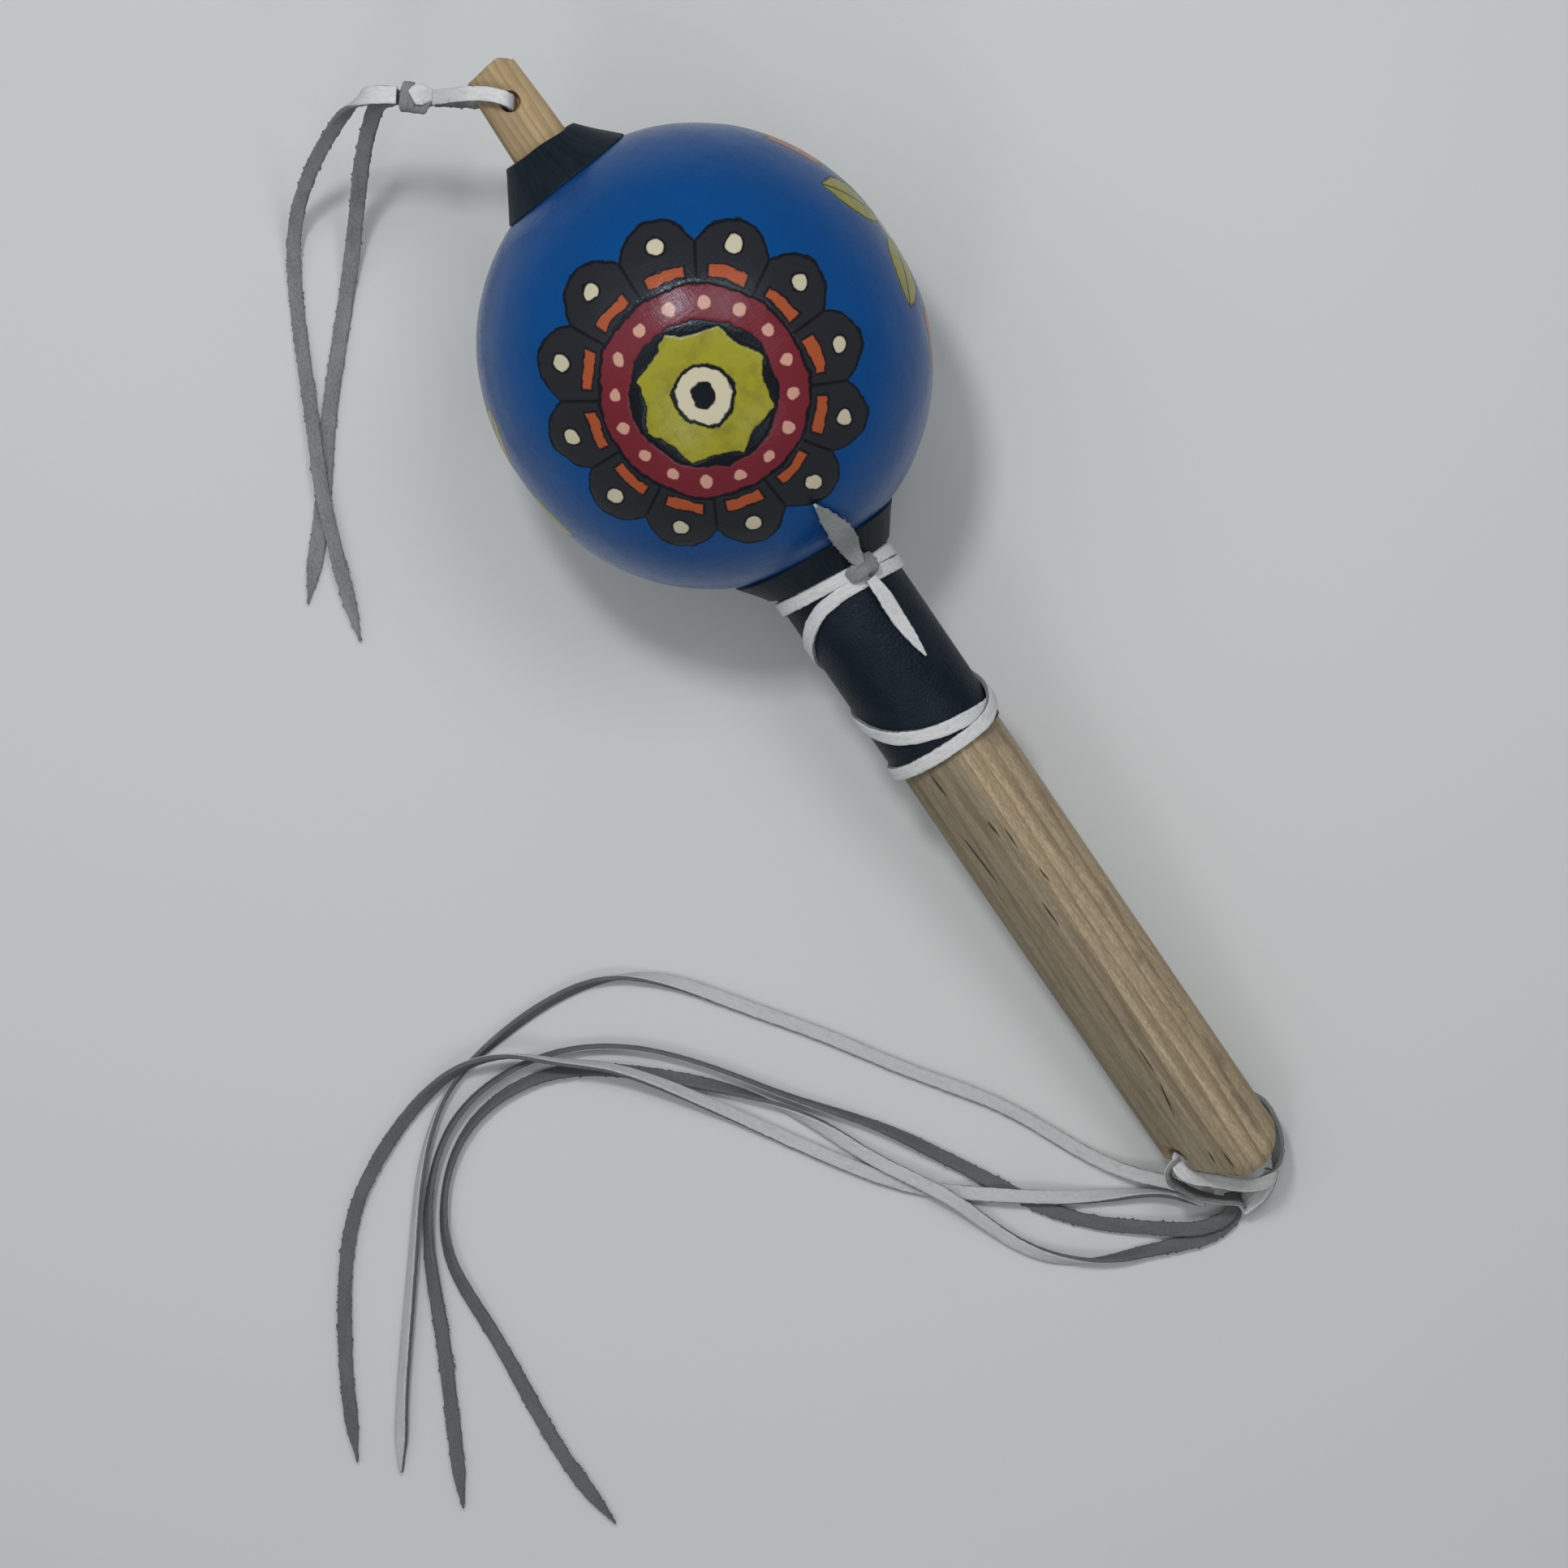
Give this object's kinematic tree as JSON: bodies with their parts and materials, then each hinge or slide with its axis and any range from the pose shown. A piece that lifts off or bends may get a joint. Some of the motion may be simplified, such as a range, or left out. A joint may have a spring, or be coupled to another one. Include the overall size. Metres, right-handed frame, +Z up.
{
  "type": "dance rattle",
  "caption": "Dance rattle: a painted gourd with loose seeds inside on a round wooden handle, with leather collars, a laced leather sleeve and long flat leather laces.",
  "frame": {"origin": "on the table, under the middle of the rattle measured without its loose laces", "axes": "+X level, along the handle to the tip; +Y to the side where the laces lie; +Z up"},
  "size_m": [0.3232, 0.259, 0.0985],
  "materials": {
    "handle_wood": "bare pine, worn and stained",
    "painted_gourd": "satin gloss brushed paint",
    "smooth_black_leather": "smooth satin",
    "pebbled_black_leather": "pebble grain",
    "white_lace": "white grain side, grey suede underside",
    "suede_lace": "grey suede side up",
    "seed": "dry and smooth"
  },
  "bodies": {
    "rattle": {"handle": "handle_wood", "gourd_shell": "painted_gourd", "top_collar": "smooth_black_leather", "neck_cuff": "smooth_black_leather", "handle_sleeve": "pebbled_black_leather", "sleeve_lacing": "white_lace", "lacing_knot": "suede_lace", "lacing_tail_up": "suede_lace", "lacing_tail_down": "white_lace", "hitch_band": "white_lace", "hitch_curl": "white_lace"},
    "hang_lace": {"hang_loop": "white_lace", "hang_knot": "white_lace", "hang_tail_1": "suede_lace", "hang_tail_2": "suede_lace"},
    "fringe": {"fringe_strand_1": "white_lace", "fringe_strand_2": "white_lace", "fringe_strand_3": "white_lace", "fringe_strand_4": "white_lace"},
    "front_seeds": {"seeds_front": "seed"},
    "middle_seeds": {"seeds_middle": "seed"},
    "rear_seeds": {"seeds_rear": "seed"}
  },
  "joints": [
    {"name": "hang_lace_swing", "type": "hinge", "parent": "rattle", "child": "hang_lace", "pos_m": [0.1388, 0.0038, 0.0611], "axis": [0, 0, 1], "range_deg": [-5, 30]},
    {"name": "fringe_swing", "type": "hinge", "parent": "rattle", "child": "fringe", "pos_m": [-0.15, 0.012, 0.004], "axis": [0, 0, 1], "range_deg": [-25, 25]},
    {"name": "front_seeds_roll", "type": "hinge", "parent": "rattle", "child": "front_seeds", "pos_m": [0.07027, 0, 0.04926], "axis": [0.9854, 0, 0.17], "continuous": true},
    {"name": "middle_seeds_roll", "type": "hinge", "parent": "rattle", "child": "middle_seeds", "pos_m": [0.07027, 0, 0.04926], "axis": [0.9854, 0, 0.17], "continuous": true},
    {"name": "rear_seeds_roll", "type": "hinge", "parent": "rattle", "child": "rear_seeds", "pos_m": [0.07027, 0, 0.04926], "axis": [0.9854, 0, 0.17], "continuous": true}
  ]
}
